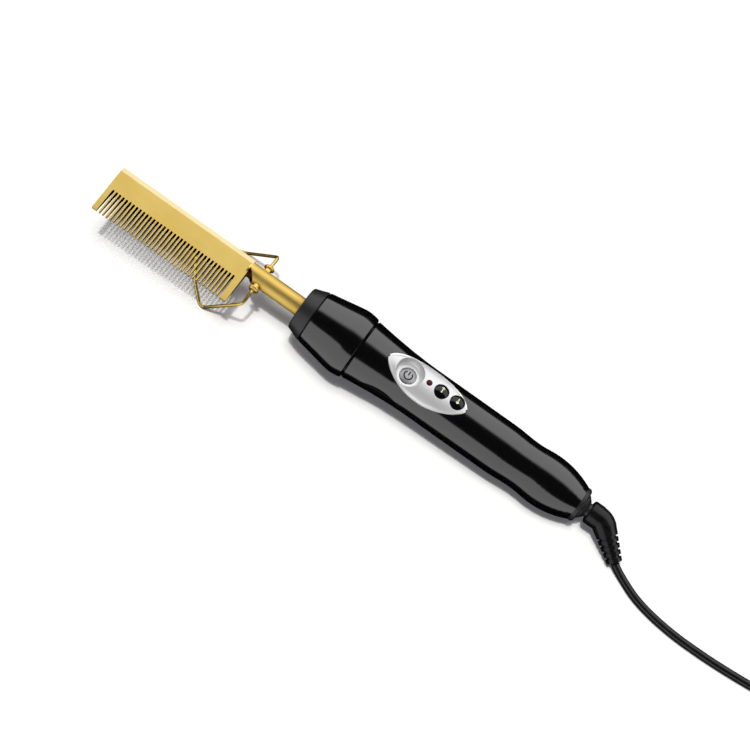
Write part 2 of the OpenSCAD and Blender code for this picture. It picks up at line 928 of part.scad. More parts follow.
neck_r = neck_d / 2;
socket_x = 279;
chamber_x = [281, 291.5];
ring_r = 4.2;
core_r = 3.4;
spring_y = [ring_r + 0.3, ring_r + 0.9];
lead_y = 5.2;
cap_x = end_x + 0.4;
cap_end_x = end_x + 3;
stem_r = 4.1;
stem_l = 5;

module supply_leads() {
    color("white") in_tool_frame() for (side = [-1, 1])
        translate([0, side * lead_y, 1.8]) rod_x(board_high[0], socket_x, 0.8);
}

module spring_blade(side) {
    low_y = side > 0 ? spring_y[0] : -spring_y[1];
    block([socket_x, low_y, 0], [287, low_y + spring_y[1] - spring_y[0], 2.6]);
}

module contact_springs() {
    color("goldenrod") in_tool_frame() for (side = [-1, 1]) spring_blade(side);
}

module swivel_socket() {
    color("dimgray") in_tool_frame() difference() {
        rod_x(socket_x, neck_seat_x, seat_r);
        rod_x(chamber_x[0], chamber_x[1], 6.9);
        rod_x(socket_x, neck_seat_x + 1, neck_r + neck_fit);
    }
}

module end_ring() {
    edge = 0.8;
    ring_out_r = 10;
    color([0.12, 0.12, 0.12]) in_tool_frame() turned([
        [neck_r + neck_fit, neck_seat_x],
        [neck_seat_r, neck_seat_x],
        [neck_seat_r, shell_end_x],
        [ring_out_r, shell_end_x],
        [ring_out_r, end_x - edge],
        [ring_out_r - edge, end_x],
        [neck_r + neck_fit, end_x]
    ]);
}

module swivel_spindle() {
    color([0.12, 0.12, 0.12]) in_tool_frame() {
        rod_x(281.6, 288.8, core_r);
        rod_x(288.8, 291.2, 6.4);
        rod_x(291.2, cap_end_x, neck_r);
        rod_x(cap_end_x - 1, boot_x + stem_l, stem_r);
        turned([
            [stem_r, cap_x],
            [cap_d / 2, cap_x],
            [cap_d / 2, cap_x + 0.5],
            [neck_r, cap_end_x],
            [stem_r, cap_end_x]
        ]);
    }
}

module slip_rings() {
    color("goldenrod") in_tool_frame() for (x = [282.2, 285])
        tube_x(x, x + 1.8, ring_r, core_r);
}

// The boot: a round body, an elbow and a tapered tail with grooves
module cord_boot() {
    groove_start = 6;
    groove_pitch = 3.5;
    groove_w = 1.5;
    groove_depth = 1.2;
    edge = 1.2;
    boot_r = boot_d / 2;
    root_r = tail_root_d / 2;
    tip_r = tail_tip_d / 2;
    // How far the elbow runs on into its neighbours, in degrees, and how much slimmer it is
    lap = 4;
    elbow_step = 0.1;
    color(black) in_tool_frame() rotate([boot_roll, 0, 0]) {
        turned([
            [stem_r, boot_x],
            for (a = [0:30:90]) [boot_r - edge + edge * sin(a), boot_x + edge - edge * cos(a)],
            [boot_r, elbow_x - 0.6],
            [root_r, elbow_x],
            [0, elbow_x],
            [0, boot_x + stem_l],
            [stem_r, boot_x + stem_l]
        ]);
        translate([elbow_x, -elbow_r, 0]) rotate([0, 0, 90 - elbow_turn - lap])
            rotate_extrude(angle = elbow_turn + 2 * lap)
                translate([elbow_r, 0]) circle(r = root_r - elbow_step);
        translate([tail_x, -tail_off, 0]) rotate([0, 0, -elbow_turn]) difference() {
            rod_x_cone(0, tail_l, root_r, tip_r);
            for (i = [0:3])
                let (
                    s = groove_start + i * groove_pitch,
                    floor_r = root_r + (tip_r - root_r) * s / tail_l - groove_depth
                )
                tube_x(s, s + groove_w, boot_r, floor_r);
        }
    }
}

// ---- Cord ----

// Points that the cord follows where it isn't coiled, on the table's own frame
lead_route = [
    [164.2, -11.8, 4.2], [166.5, -13.2, 3.2], [169.5, -14.8, 2.5], [173, -16.6, 2.25],
    [181.4, -20.7, 2.25], [189.7, -23.4, 2.25], [198.1, -25.2, 2.25], [206.4, -26.4, 2.25],
    [213, -27, 2.25], [219, -27.3, 2.25]
];
run_route = [
    [219.4, -27.3, 2.25], [230, -27.5, 2.25], [241, -27.3, 2.25], [252, -26.8, 2.25],
    [263, -26.1, 2.25], [274, -25.5, 2.25], [285, -25.1, 2.25], [296, -25, 2.25]
];
tail_route = [
    [302, -25, 15.75], [313, -24.9, 15.2], [324, -23.8, 13], [335, -21.3, 10],
    [345, -18.5, 7.6], [355, -16.5, 6.3], [364, -16, 6]
];
cord_r = cord_d / 2;
cord_sides = 10;
coil_at = [302, 8];
plug_at = [364, -16, 6];

module cord_lead() {
    color(black) swept_tube(lead_route, cord_r, cord_sides);
}

module cord_run() {
    color(black) swept_tube(run_route, cord_r, cord_sides);
}

module cord_tail() {
    color(black) swept_tube(tail_route, cord_r, cord_sides);
}

coil_low_r = coil_in_r - cord_r;
coil_high_r = coil_low_r + coil_rows * cord_d;
coil_top = coil_layers * cord_d;

module cord_coil() {
    edge = 1.2;
    color(black) translate([coil_at[0], coil_at[1], 0]) rotate_extrude() polygon([
        [coil_low_r + edge, 0],
        [coil_high_r - edge, 0],
        [coil_high_r, edge],
        [coil_high_r, coil_top - edge],
        [coil_high_r - edge, coil_top],
        [coil_low_r + edge, coil_top],
        [coil_low_r, coil_top - edge],
        [coil_low_r, edge]
    ]);
}

// A strap round the coil's section
module cord_tie() {
    strap_t = 0.8;
    strap_w = 8;
    strap_high_r = coil_high_r + strap_t;
    color("dimgray") translate([coil_at[0], coil_at[1], 0]) difference() {
        block([-strap_w / 2, coil_low_r - strap_t, 0], [strap_w / 2, strap_high_r, coil_top + strap_t]);
        block([-strap_w, coil_low_r, -1], [strap_w, coil_high_r, coil_top]);
    }
}

plug_relief_l = 20;
plug_l = 26;
plug_half_w = 12;

// A plug that lies flat on the table, with a strain relief towards the cord
module plug_body() {
    shoulder_l = 7;
    color(black) translate(plug_at) {
        rod_x_cone(0, plug_relief_l + 1, 3.2, 5);
        translate([plug_relief_l, 0, -plug_at[2]]) linear_extrude(2 * plug_at[2]) polygon([
            [0, -plug_half_w + 5],
            [shoulder_l, -plug_half_w],
            [plug_l, -plug_half_w],
            [plug_l, plug_half_w],
            [shoulder_l, plug_half_w],
            [0, plug_half_w - 5]
        ]);
    }
}

module plug_blades() {
    blade_low = [plug_relief_l + plug_l - 1, -0.75, -3.2];
    blade_high = [plug_relief_l + plug_l + 17, 0.75, 3.2];
    color("silver") translate(plug_at) for (side = [-1, 1])
        translate([0, side * 6.35, 0]) block(blade_low, blade_high);
}

comb_plate();
heater_element();
heat_sensor();
heater_leads();
sensor_leads();
stem_tube();
near_stand_boss();
far_stand_boss();
stand_wire();
insulating_sleeve();
stem_flange();
front_ring();
nose_cone();
upper_shell();
lower_shell();
shell_screws();
near_grip_insert();
far_grip_insert();
control_panel();
power_dish();
power_button();
led_lens();
heat_up_button();
heat_down_button();
circuit_board();
tact_switches();
pilot_led();
control_chip();
triac();
lead_connector();
supply_leads();
swivel_socket();
contact_springs();
end_ring();
swivel_spindle();
slip_rings();
cord_boot();
cord_lead();
cord_run();
cord_coil();
cord_tail();
cord_tie();
plug_body();
plug_blades();
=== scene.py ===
"""Looks of the electric pressing comb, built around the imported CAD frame. Metres, +Z up."""

import json
import math

import bpy
from mathutils import Matrix, Vector
from mathutils.bvhtree import BVHTree


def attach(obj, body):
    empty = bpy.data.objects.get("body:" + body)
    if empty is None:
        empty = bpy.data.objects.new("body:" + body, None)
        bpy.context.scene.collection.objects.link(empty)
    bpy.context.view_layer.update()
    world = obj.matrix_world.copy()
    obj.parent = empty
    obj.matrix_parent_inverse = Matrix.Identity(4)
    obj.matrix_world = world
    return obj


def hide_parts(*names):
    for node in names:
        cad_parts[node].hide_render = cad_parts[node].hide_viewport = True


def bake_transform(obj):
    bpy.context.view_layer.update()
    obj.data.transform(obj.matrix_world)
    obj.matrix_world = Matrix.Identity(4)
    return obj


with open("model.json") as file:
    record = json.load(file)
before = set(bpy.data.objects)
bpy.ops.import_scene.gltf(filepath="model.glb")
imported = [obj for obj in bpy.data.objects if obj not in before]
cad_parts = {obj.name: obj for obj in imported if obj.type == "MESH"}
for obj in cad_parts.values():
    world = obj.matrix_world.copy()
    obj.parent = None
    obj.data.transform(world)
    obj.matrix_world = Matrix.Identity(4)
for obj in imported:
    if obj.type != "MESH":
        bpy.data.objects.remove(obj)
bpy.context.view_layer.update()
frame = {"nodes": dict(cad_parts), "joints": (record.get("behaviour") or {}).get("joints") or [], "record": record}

MM = 0.001

# ---- The tool's own frame, taken from the swivel's joint ----

SWIVEL_X = 300.0  # the joint's place along the tool, in the tool's own millimetres
swivel = next(joint for joint in frame["joints"] if joint["name"] == "cord_swivel")
ALONG = Vector(swivel["axis"]).normalized()
ASIDE = Vector((0, 1, 0))
UPWARD = ALONG.cross(ASIDE)
ANCHOR = Vector(swivel["pos_m"])


def tool_point(x, y, z):
    """A point given in the tool's own millimetres, as a point in the row frame."""
    return ANCHOR + (ALONG * (x - SWIVEL_X) + ASIDE * y + UPWARD * z) * MM


# ---- Camera, fitted to points measured in the photo ----

CAMERA_AZIMUTH = math.radians(-10.90)
CAMERA_ELEVATION = math.radians(64.00)
CAMERA_ROLL = math.radians(23.86)
CAMERA_DISTANCE = 1.0
CAMERA_TARGET = Vector((0.0046, -0.0035, 0.015))
CAMERA_LENS = 90.52  # in millimetres, as is the sensor
CAMERA_SENSOR = 36
CAMERA_CLIP_START = 0.01


def make_camera():
    """A camera that looks at its target from the fitted angles and distance."""
    forward = Vector((
        math.sin(CAMERA_AZIMUTH) * math.cos(CAMERA_ELEVATION),
        math.cos(CAMERA_AZIMUTH) * math.cos(CAMERA_ELEVATION),
        -math.sin(CAMERA_ELEVATION),
    ))
    level = Vector((math.cos(CAMERA_AZIMUTH), -math.sin(CAMERA_AZIMUTH), 0))
    upright = level.cross(forward)
    right = level * math.cos(CAMERA_ROLL) + upright * math.sin(CAMERA_ROLL)
    up = upright * math.cos(CAMERA_ROLL) - level * math.sin(CAMERA_ROLL)
    data = bpy.data.cameras.new("camera")
    data.lens = CAMERA_LENS
    data.sensor_width = CAMERA_SENSOR
    data.clip_start = CAMERA_CLIP_START
    camera = bpy.data.objects.new("camera", data)
    camera.matrix_world = (
        Matrix.Translation(CAMERA_TARGET - forward * CAMERA_DISTANCE)
        @ Matrix((right, up, -forward)).transposed().to_4x4()
    )
    bpy.context.collection.objects.link(camera)
    bpy.context.scene.camera = camera


make_camera()

# ---- Mesh helpers ----


def add_mesh(name, verts, faces, smooth=True):
    """A new object in the scene, from vertices and faces."""
    mesh = bpy.data.meshes.new(name)
    mesh.from_pydata([tuple(v) for v in verts], [], faces)
    mesh.validate()
    for polygon in mesh.polygons:
        polygon.use_smooth = smooth
    piece = bpy.data.objects.new(name, mesh)
    bpy.context.collection.objects.link(piece)
    return piece


def smooth_route(points, step):
    """Points about a step apart on the Catmull-Rom curve through a route."""
    route = []
    last = len(points) - 1
    for i in range(last):
        before = points[max(i - 1, 0)]
        a, b = points[i], points[i + 1]
        after = points[min(i + 2, last)]
        pieces = max(1, round((b - a).length / step))
        for k in range(pieces):
            u = k / pieces
            route.append(0.5 * (
                2 * a
                + (b - before) * u
                + (2 * before - 5 * a + 4 * b - after) * u ** 2
                + (3 * a - before - 3 * b + after) * u ** 3
            ))
    route.append(points[last].copy())
    return route


def tube_mesh(route, radius, sides):
    """Vertices and faces of a tube along a route, with flat caps."""
    verts = []
    side = None
    for i, point in enumerate(route):
        way = (route[min(i + 1, len(route) - 1)] - route[max(i - 1, 0)]).normalized()
        if side is None:
            side = way.orthogonal().normalized()
        side = (side - way * side.dot(way)).normalized()
        other = way.cross(side)
        for k in range(sides):
            angle = 2 * math.pi * k / sides
            verts.append(point + radius * (side * math.cos(angle) + other * math.sin(angle)))
    faces = []
    for i in range(len(route) - 1):
        for k in range(sides):
            a, b = i * sides + k, i * sides + (k + 1) % sides
            faces.append((a, b, b + sides, a + sides))
    end = (len(route) - 1) * sides
    faces.append(tuple(range(sides - 1, -1, -1)))
    faces.append(tuple(range(end, end + sides)))
    return verts, faces


# ---- Cord ----

CORD_D = 4.5 * MM
CORD_R = CORD_D / 2
# The cord's route in the row frame, in millimetres, where it isn't coiled
LEAD_ROUTE = [
    (164.2, -11.8, 4.2), (166.5, -13.2, 3.2), (169.5, -14.8, 2.5), (173, -16.6, 2.25),
    (181.4, -20.7, 2.25), (189.7, -23.4, 2.25), (198.1, -25.2, 2.25), (206.4, -26.4, 2.25),
    (213, -27, 2.25), (219, -27.3, 2.25),
]
RUN_ROUTE = [
    (230, -27.5, 2.25), (241, -27.3, 2.25), (252, -26.8, 2.25), (263, -26.1, 2.25),
    (274, -25.5, 2.25), (285, -25.1, 2.25), (296, -25, 2.25),
]
TAIL_ROUTE = [
    (313, -24.9, 15.2), (324, -23.8, 13), (335, -21.3, 10),
    (345, -18.5, 7.6), (355, -16.5, 6.3), (364, -16, 6),
]
COIL_AT = (302, 8)
COIL_OUTER = 33.0  # radius to the middle of the outermost turn
COIL_PITCH = 4.5
COIL_TURNS = 3  # turns in a layer, between the outermost and the innermost radius
COIL_LAYERS = 4
CLIMB_DEGREES = 120  # the turn that the cord needs to climb to the next layer
COIL_STEP = 10  # degrees between two points of a turn
ROUTE_STEP = 3 * MM  # between two points of the routes
CORD_SIDES = 16


def coil_points():
    """The coil's turns, from its lowest outer one: layer on layer, inwards and then outwards."""
    points = []
    angle = -90.0
    radius = COIL_OUTER
    height = CORD_R / MM
    layer_steps = COIL_TURNS * 360 // COIL_STEP
    climb_steps = CLIMB_DEGREES // COIL_STEP
    for layer in range(COIL_LAYERS):
        inwards = -1 if layer % 2 == 0 else 1
        moves = [(inwards * COIL_PITCH * COIL_STEP / 360, 0)] * layer_steps
        if layer < COIL_LAYERS - 1:
            moves += [(0, COIL_PITCH / climb_steps)] * climb_steps
        for move_out, move_up in moves:
            points.append((
                COIL_AT[0] + radius * math.cos(math.radians(angle)),
                COIL_AT[1] + radius * math.sin(math.radians(angle)),
                height,
            ))
            angle += COIL_STEP
            radius += move_out
            height += move_up
    points.append((COIL_AT[0], COIL_AT[1] - radius, height))
    return points


def make_cord():
    """One continuous cord from the boot to the plug, in place of the four cord solids."""
    lead = [Vector(p) * MM for p in LEAD_ROUTE + RUN_ROUTE]
    coil = [Vector(p) * MM for p in coil_points()]
    tail = [Vector(p) * MM for p in TAIL_ROUTE]
    path = smooth_route(lead, ROUTE_STEP) + coil[1:-1]
    path += smooth_route([coil[-1]] + tail, ROUTE_STEP)
    verts, faces = tube_mesh(path, CORD_R, CORD_SIDES)
    cord = add_mesh("power_cord", verts, faces)
    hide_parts("cord_lead", "cord_run", "cord_coil", "cord_tail")
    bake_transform(cord)
    return cord


cord = make_cord()

# ---- Material helpers ----


def calc(tree, operation, *values):
    """A Math node fed with numbers and outputs."""
    node = tree.nodes.new("ShaderNodeMath")
    node.operation = operation
    for slot, value in zip(node.inputs, values):
        if isinstance(value, (int, float)):
            slot.default_value = value
        else:
            tree.links.new(value, slot)
    return node.outputs[0]


def ramp(tree, value, start, end):
    """0 at start, 1 at end, smooth between them."""
    node = tree.nodes.new("ShaderNodeMapRange")
    node.interpolation_type = "SMOOTHSTEP"
    node.inputs["From Min"].default_value = start
    node.inputs["From Max"].default_value = end
    tree.links.new(value, node.inputs["Value"])
    return node.outputs["Result"]


def part_along(tree, vector, axis, offset=0.0, scale=1.0):
    """How far a vector goes along an axis, less the offset, times the scale."""
    node = tree.nodes.new("ShaderNodeVectorMath")
    node.operation = "DOT_PRODUCT"
    tree.links.new(vector, node.inputs[0])
    node.inputs[1].default_value = axis
    return calc(tree, "MULTIPLY", calc(tree, "SUBTRACT", node.outputs["Value"], offset), scale)


class Surface:
    """A Principled material whose colour, roughness and bump come from noise in the row frame."""

    def __init__(self, name, color, roughness, metallic=0.0, ior=1.5, coat=0.0):
        self.material = bpy.data.materials.new(name)
        self.material.use_nodes = True
        self.tree = self.material.node_tree
        self.shader = self.tree.nodes["Principled BSDF"]
        self.color = color
        self.roughness = roughness
        self.put("Base Color", (*color, 1))
        self.put("Roughness", roughness)
        self.put("Metallic", metallic)
        self.put("IOR", ior)
        self.put("Coat Weight", coat)
        self.coords = self.tree.nodes.new("ShaderNodeTexCoord").outputs["Object"]

    def put(self, socket, value):
        self.shader.inputs[socket].default_value = value

    def link(self, output, socket):
        self.tree.links.new(output, socket)

    def tool_place(self):
        """Places along and across the tool, in its own millimetres."""
        x = part_along(self.tree, self.coords, ALONG, ANCHOR.dot(ALONG) - SWIVEL_X * MM, 1 / MM)
        y = part_along(self.tree, self.coords, ASIDE, ANCHOR.dot(ASIDE), 1 / MM)
        return x, y

    def noise(self, scale, detail=3.0, stretch=(1, 1, 1)):
        """Noise with features of about 1/scale metres, stretched along the axes."""
        mapping = self.tree.nodes.new("ShaderNodeMapping")
        mapping.inputs["Scale"].default_value = stretch
        texture = self.tree.nodes.new("ShaderNodeTexNoise")
        texture.inputs["Scale"].default_value = scale
        texture.inputs["Detail"].default_value = detail
        self.link(self.coords, mapping.inputs["Vector"])
        self.link(mapping.outputs["Vector"], texture.inputs["Vector"])
        return texture.outputs["Fac"]

    def spread(self, value, low, high):
        """Noise mapped from its usual 0.3 to 0.7 onto low to high."""
        node = self.tree.nodes.new("ShaderNodeMapRange")
        node.inputs["From Min"].default_value = 0.3
        node.inputs["From Max"].default_value = 0.7
        node.inputs["To Min"].default_value = low
        node.inputs["To Max"].default_value = high
        self.link(value, node.inputs["Value"])
        return node.outputs["Result"]

    def vary_color(self, value, other):
        """Colour between the surface's own and another one, by a value from 0 to 1."""
        mix = self.tree.nodes.new("ShaderNodeMix")
        mix.data_type = "RGBA"
        source = self.shader.inputs["Base Color"]
        if source.is_linked:
            self.link(source.links[0].from_socket, mix.inputs["A"])
        else:
            mix.inputs["A"].default_value = (*self.color, 1)
        mix.inputs["B"].default_value = (*other, 1)
        self.link(value, mix.inputs["Factor"])
        self.link(mix.outputs["Result"], source)

    def vary_roughness(self, value, amount):
        """Roughness up to an amount below and above the surface's own, by noise."""
        low, high = self.roughness - amount, self.roughness + amount
        self.link(self.spread(value, low, high), self.shader.inputs["Roughness"])

    def bump(self, value, height):
        """Bump of a real height, in metres."""
        node = self.tree.nodes.new("ShaderNodeBump")
        node.inputs["Distance"].default_value = height
        node.inputs["Strength"].default_value = 1.0
        normal = self.shader.inputs["Normal"]
        if normal.is_linked:
            self.link(normal.links[0].from_socket, node.inputs["Normal"])
        self.link(value, node.inputs["Height"])
        self.link(node.outputs["Normal"], normal)


# ---- Materials ----

# Sizes of the shapes that a colour follows, in the tool's own millimetres
COMB_L = 85.9
FRONT_TOOTH_W = 3.1
TOOTH_TIP_Y = -22.8
TOOTH_ROOT_Y = -8.6
GAP_SHADE_START_Y = TOOTH_TIP_Y + 1  # the gaps' walls are plain gold from the tips up to here, where their painted shade starts
GAP_SHADE_FULL_Y = TOOTH_ROOT_Y - 7  # and their painted shade is full from here to the roots
SLACK = 0.1  # how far a mask reaches past the edge of its shape
TUBE_R = 5.4
GROOVE_X = 157.6  # middle of the groove between the nose and the grip
GROOVE_HALF_W = 0.75  # half of the groove with its rounded edges
PANEL_X, PANEL_Y = 197.3, -1.2  # middle of the panel
PANEL_L, PANEL_W = 49.6, 20.2
PANEL_POWER = 0.6  # how its width falls off towards its ends
PANEL_RIM_HIGHLIGHT = (1.5, 1.0)  # distances from its edge where the rim's painted highlight starts and is full
# Parts of a face's normal that tell where it looks
WALL_UP = 0.6  # less than this upward, and it is a wall between two teeth
BEVEL_BACK, BEVEL_UP = 0.2, 0.3  # more than these towards +Y and upward, and it is the bevel


def gap_shade_mask(s):
    """1 on the walls at the roots of the gaps between the teeth, where shade is painted; 0 at the tips and
    elsewhere.
    """
    tree = s.tree
    x, y = s.tool_place()
    normal = tree.nodes.new("ShaderNodeNewGeometry").outputs["Normal"]
    flat = calc(tree, "ABSOLUTE", part_along(tree, normal, UPWARD))
    wall = calc(tree, "LESS_THAN", flat, WALL_UP)
    within = calc(tree, "COMPARE", x, COMB_L / 2, COMB_L / 2 - FRONT_TOOTH_W + SLACK)
    deep = ramp(tree, y, GAP_SHADE_START_Y, GAP_SHADE_FULL_Y)
    behind = calc(tree, "LESS_THAN", y, TOOTH_ROOT_Y + 1)
    inner_wall = calc(tree, "MULTIPLY", wall, within)
    return calc(tree, "MULTIPLY", inner_wall, calc(tree, "MULTIPLY", deep, behind))


def mitre_shade_mask(s):
    """1 on the part of the comb's end that shows in the slanted cut of the tube, where shade is painted."""
    tree = s.tree
    x, y = s.tool_place()
    past = calc(tree, "SUBTRACT", x, COMB_L)
    started = calc(tree, "GREATER_THAN", past, -SLACK / 2)
    below = calc(tree, "LESS_THAN", calc(tree, "ADD", y, past), SLACK)
    near = calc(tree, "GREATER_THAN", y, -TUBE_R)
    return calc(tree, "MULTIPLY", calc(tree, "MULTIPLY", started, below), near)


def bevel_highlight_mask(s):
    """1 on the slope along the comb's back, where a paler gold paints its highlight."""
    normal = s.tree.nodes.new("ShaderNodeNewGeometry").outputs["Normal"]
    back = calc(s.tree, "GREATER_THAN", part_along(s.tree, normal, ASIDE), BEVEL_BACK)
    top = calc(s.tree, "GREATER_THAN", part_along(s.tree, normal, UPWARD), BEVEL_UP)
    return calc(s.tree, "MULTIPLY", back, top)


def gold_plate(name, masks=(), roughness=0.34):
    """Satin gold plate with brush lines along the tool, and another colour where a mask is 1: on the comb, painted
    shade and a painted highlight.
    """
    s = Surface(name, (0.92, 0.645, 0.163), roughness, metallic=1.0)
    brush = s.noise(900, detail=4, stretch=(0.05, 1, 1))
    s.vary_color(s.spread(s.noise(60), 0, 1), (0.96, 0.70, 0.21))
    for mask, color in masks:
        s.vary_color(mask(s), color)
    s.vary_roughness(brush, 0.05)
    s.bump(brush, 0.006 * MM)
    return s.material


def gloss_plastic(name, color, grain=0.004, ior=1.9):
    """Polished plastic with the faint waviness of a moulding. It returns the Surface."""
    s = Surface(name, color, 0.13, ior=ior)
    s.vary_roughness(s.noise(250), 0.025)
    s.bump(s.noise(160, detail=2), grain * MM)
    return s


def grip_plastic():
    """The grip's plastic, with no shine in the groove between the nose and the grip: painted shade in the groove.
    """
    s = gloss_plastic("gloss_black", (0.003, 0.003, 0.0035))
    x = s.tool_place()[0]
    groove = calc(s.tree, "COMPARE", x, GROOVE_X, GROOVE_HALF_W)
    # painted shade: the groove loses its shine, so it reads dark
    s.link(calc(s.tree, "SUBTRACT", 1, groove), s.shader.inputs["Specular Tint"])
    return s.material


def satin_plastic(name, color, roughness, grain, shine=0.5):
    """Moulded plastic with a fine spark-eroded grain."""
    s = Surface(name, color, roughness)
    s.put("Specular IOR Level", shine)
    s.vary_color(s.spread(s.noise(120), 0, 1), tuple(c * 1.5 for c in color))
    s.vary_roughness(s.noise(700), 0.05)
    s.bump(s.noise(2500, detail=2), grain * MM)
    return s.material


def silver_paint(name, color, roughness, metallic=0.85):
    """Metallic paint with tiny flakes. It returns the Surface."""
    s = Surface(name, color, roughness, metallic=metallic, coat=0.3)
    flakes = s.noise(5000, detail=1)
    s.vary_color(s.spread(flakes, 0, 0.35), tuple(min(1, c * 1.15) for c in color))
    s.vary_roughness(s.noise(400), 0.03)
    s.bump(flakes, 0.002 * MM)
    return s


def panel_paint_rim_highlight():
    """The panel's paint, brighter on the rim than on the field inside it: a painted highlight along the rim."""
    s = silver_paint("silver_panel", (0.80, 0.80, 0.81), 0.40, metallic=0.55)
    x, y = s.tool_place()
    along = calc(s.tree, "DIVIDE", calc(s.tree, "SUBTRACT", x, PANEL_X), PANEL_L / 2)
    left = calc(s.tree, "SUBTRACT", 1, calc(s.tree, "MULTIPLY", along, along))
    width = calc(s.tree, "POWER", calc(s.tree, "MAXIMUM", left, 0), PANEL_POWER)
    edge = calc(s.tree, "MULTIPLY", width, PANEL_W / 2)
    aside = calc(s.tree, "ABSOLUTE", calc(s.tree, "SUBTRACT", y, PANEL_Y))
    inwards = calc(s.tree, "SUBTRACT", edge, aside)
    # painted highlight: paler along the rim
    s.vary_color(ramp(s.tree, inwards, *PANEL_RIM_HIGHLIGHT), (0.97, 0.97, 0.97))
    return s.material


def steel(name, color, roughness):
    """Bare metal with fine drawing lines along the tool."""
    s = Surface(name, color, roughness, metallic=1.0)
    lines = s.noise(1200, detail=4, stretch=(0.04, 1, 1))
    s.vary_color(s.spread(s.noise(90), 0, 1), tuple(c * 0.85 for c in color))
    s.vary_roughness(lines, 0.06)
    s.bump(lines, 0.004 * MM)
    return s.material


def flexible_sheath(name, roughness, ior):
    """Soft black cord sheath: smooth, with a slight unevenness."""
    s = Surface(name, (0.004, 0.004, 0.0045), roughness, ior=ior)
    s.vary_color(s.spread(s.noise(200), 0, 1), (0.008, 0.008, 0.009))
    s.vary_roughness(s.noise(500), 0.04)
    s.bump(s.noise(900, detail=2), 0.003 * MM)
    return s.material


def red_glass():
    """The unlit pilot light's lens."""
    s = Surface("red_lens", (0.07, 0.001, 0.004), 0.2, ior=1.35)
    s.vary_color(s.spread(s.noise(900), 0, 1), (0.035, 0.0005, 0.002))
    s.vary_roughness(s.noise(700), 0.03)
    return s.material


def webbing():
    """Woven strap."""
    s = Surface("tie_webbing", (0.045, 0.045, 0.05), 0.85)
    weave = s.noise(1500, detail=1, stretch=(1, 3, 1))
    s.vary_color(s.spread(weave, 0, 1), (0.09, 0.09, 0.095))
    s.bump(weave, 0.08 * MM)
    return s.material


# By the slots in the record, and by the names in OWN_MATERIALS
MATERIALS = {
    "gold_metal": gold_plate("gold_plate"),
    "comb_gold_painted_light": gold_plate("comb_gold_painted_light", [
        # painted shade: the gaps' walls dark brown towards the roots
        (gap_shade_mask, (0.03, 0.012, 0.003)),
        # painted shade: the comb's end dark where it shows in the tube's slanted cut
        (mitre_shade_mask, (0.06, 0.022, 0.006)),
        # painted highlight: a paler gold on the bevel along the comb's back
        (bevel_highlight_mask, (0.86, 0.72, 0.40)),
    ]),
    "tube_gold": gold_plate("tube_gold", roughness=0.56),
    "heater_steel": steel("heater_steel", (0.62, 0.62, 0.63), 0.35),
    "sensor_brown": satin_plastic("sensor_brown", (0.18, 0.08, 0.04), 0.5, 0.01),
    "ceramic": satin_plastic("ceramic", (0.70, 0.65, 0.52), 0.7, 0.01),
    "gloss_black": grip_plastic(),
    "satin_black": satin_plastic("satin_black", (0.012, 0.012, 0.013), 0.38, 0.006),
    "inset_black": satin_plastic("inset_black", (0.002, 0.002, 0.002), 0.42, 0.008, 0.15),
    "button_black": gloss_plastic(
        "button_black", (0.003, 0.003, 0.0035), grain=0.001, ior=1.5,
    ).material,
    "silver_panel": panel_paint_rim_highlight(),
    "silver_button": silver_paint("silver_button", (0.34, 0.34, 0.35), 0.28).material,
    "red_lens": red_glass(),
    "board_green": satin_plastic("board_green", (0.02, 0.13, 0.05), 0.4, 0.01),
    "chip_black": satin_plastic("chip_black", (0.02, 0.02, 0.02), 0.5, 0.01),
    "connector_white": satin_plastic("connector_white", (0.60, 0.58, 0.50), 0.5, 0.01),
    "wire_white": satin_plastic("wire_white", (0.55, 0.53, 0.48), 0.5, 0.01),
    "contact_brass": steel("contact_brass", (0.72, 0.52, 0.22), 0.3),
    "cord_black": flexible_sheath("cord_black", 0.24, 1.5),
    "boot_black": flexible_sheath("boot_black", 0.26, 1.4),
    "tie_grey": webbing(),
    "plug_black": satin_plastic("plug_black", (0.010, 0.010, 0.011), 0.4, 0.012),
    "blade_metal": steel("blade_metal", (0.76, 0.70, 0.52), 0.24),
}

# Nodes that don't take the plain material of their slot
OWN_MATERIALS = {
    "cord_boot": "boot_black",
    "comb_plate": "comb_gold_painted_light",
    "stem_tube": "tube_gold",
}


def dress_nodes():
    """Every CAD node gets its own material, or else that of its slot in the record."""
    for part in frame["record"]["subparts"]:
        node = frame["nodes"][part["node"]]
        material = MATERIALS[OWN_MATERIALS.get(part["node"], part["material_slot"])]
        node.data.materials.clear()
        node.data.materials.append(material)


dress_nodes()
cord.data.materials.append(MATERIALS["cord_black"])

# ---- Signs on the buttons, printed a little proud of them, in the tool's own millimetres ----

SIGN_H = 0.1  # how far the print stands out of the button, and how deep it goes
RAY_START_Z = 40  # above every button
POWER_AT = (186.6, -1)
POWER_R = 2.3
POWER_LINE_W = 0.7
POWER_OPENING = 40  # degrees on each side of the bar
POWER_PIECES = 28  # of the arc
POWER_BAR = 1.1  # the bar's length in the arc's radii
HEAT_UP_AT = (205.7, 0.5)
HEAT_DOWN_AT = (215.7, 0.5)
ARROW_HALF = 1.7
ARROW_LINE_W = 0.6
WING_X, WING_Y = 0.75, 0.9  # how far the arrow's wings reach sideways and back from its tip
SHAFT_SHORT = 0.3  # how far the shaft ends before the tip


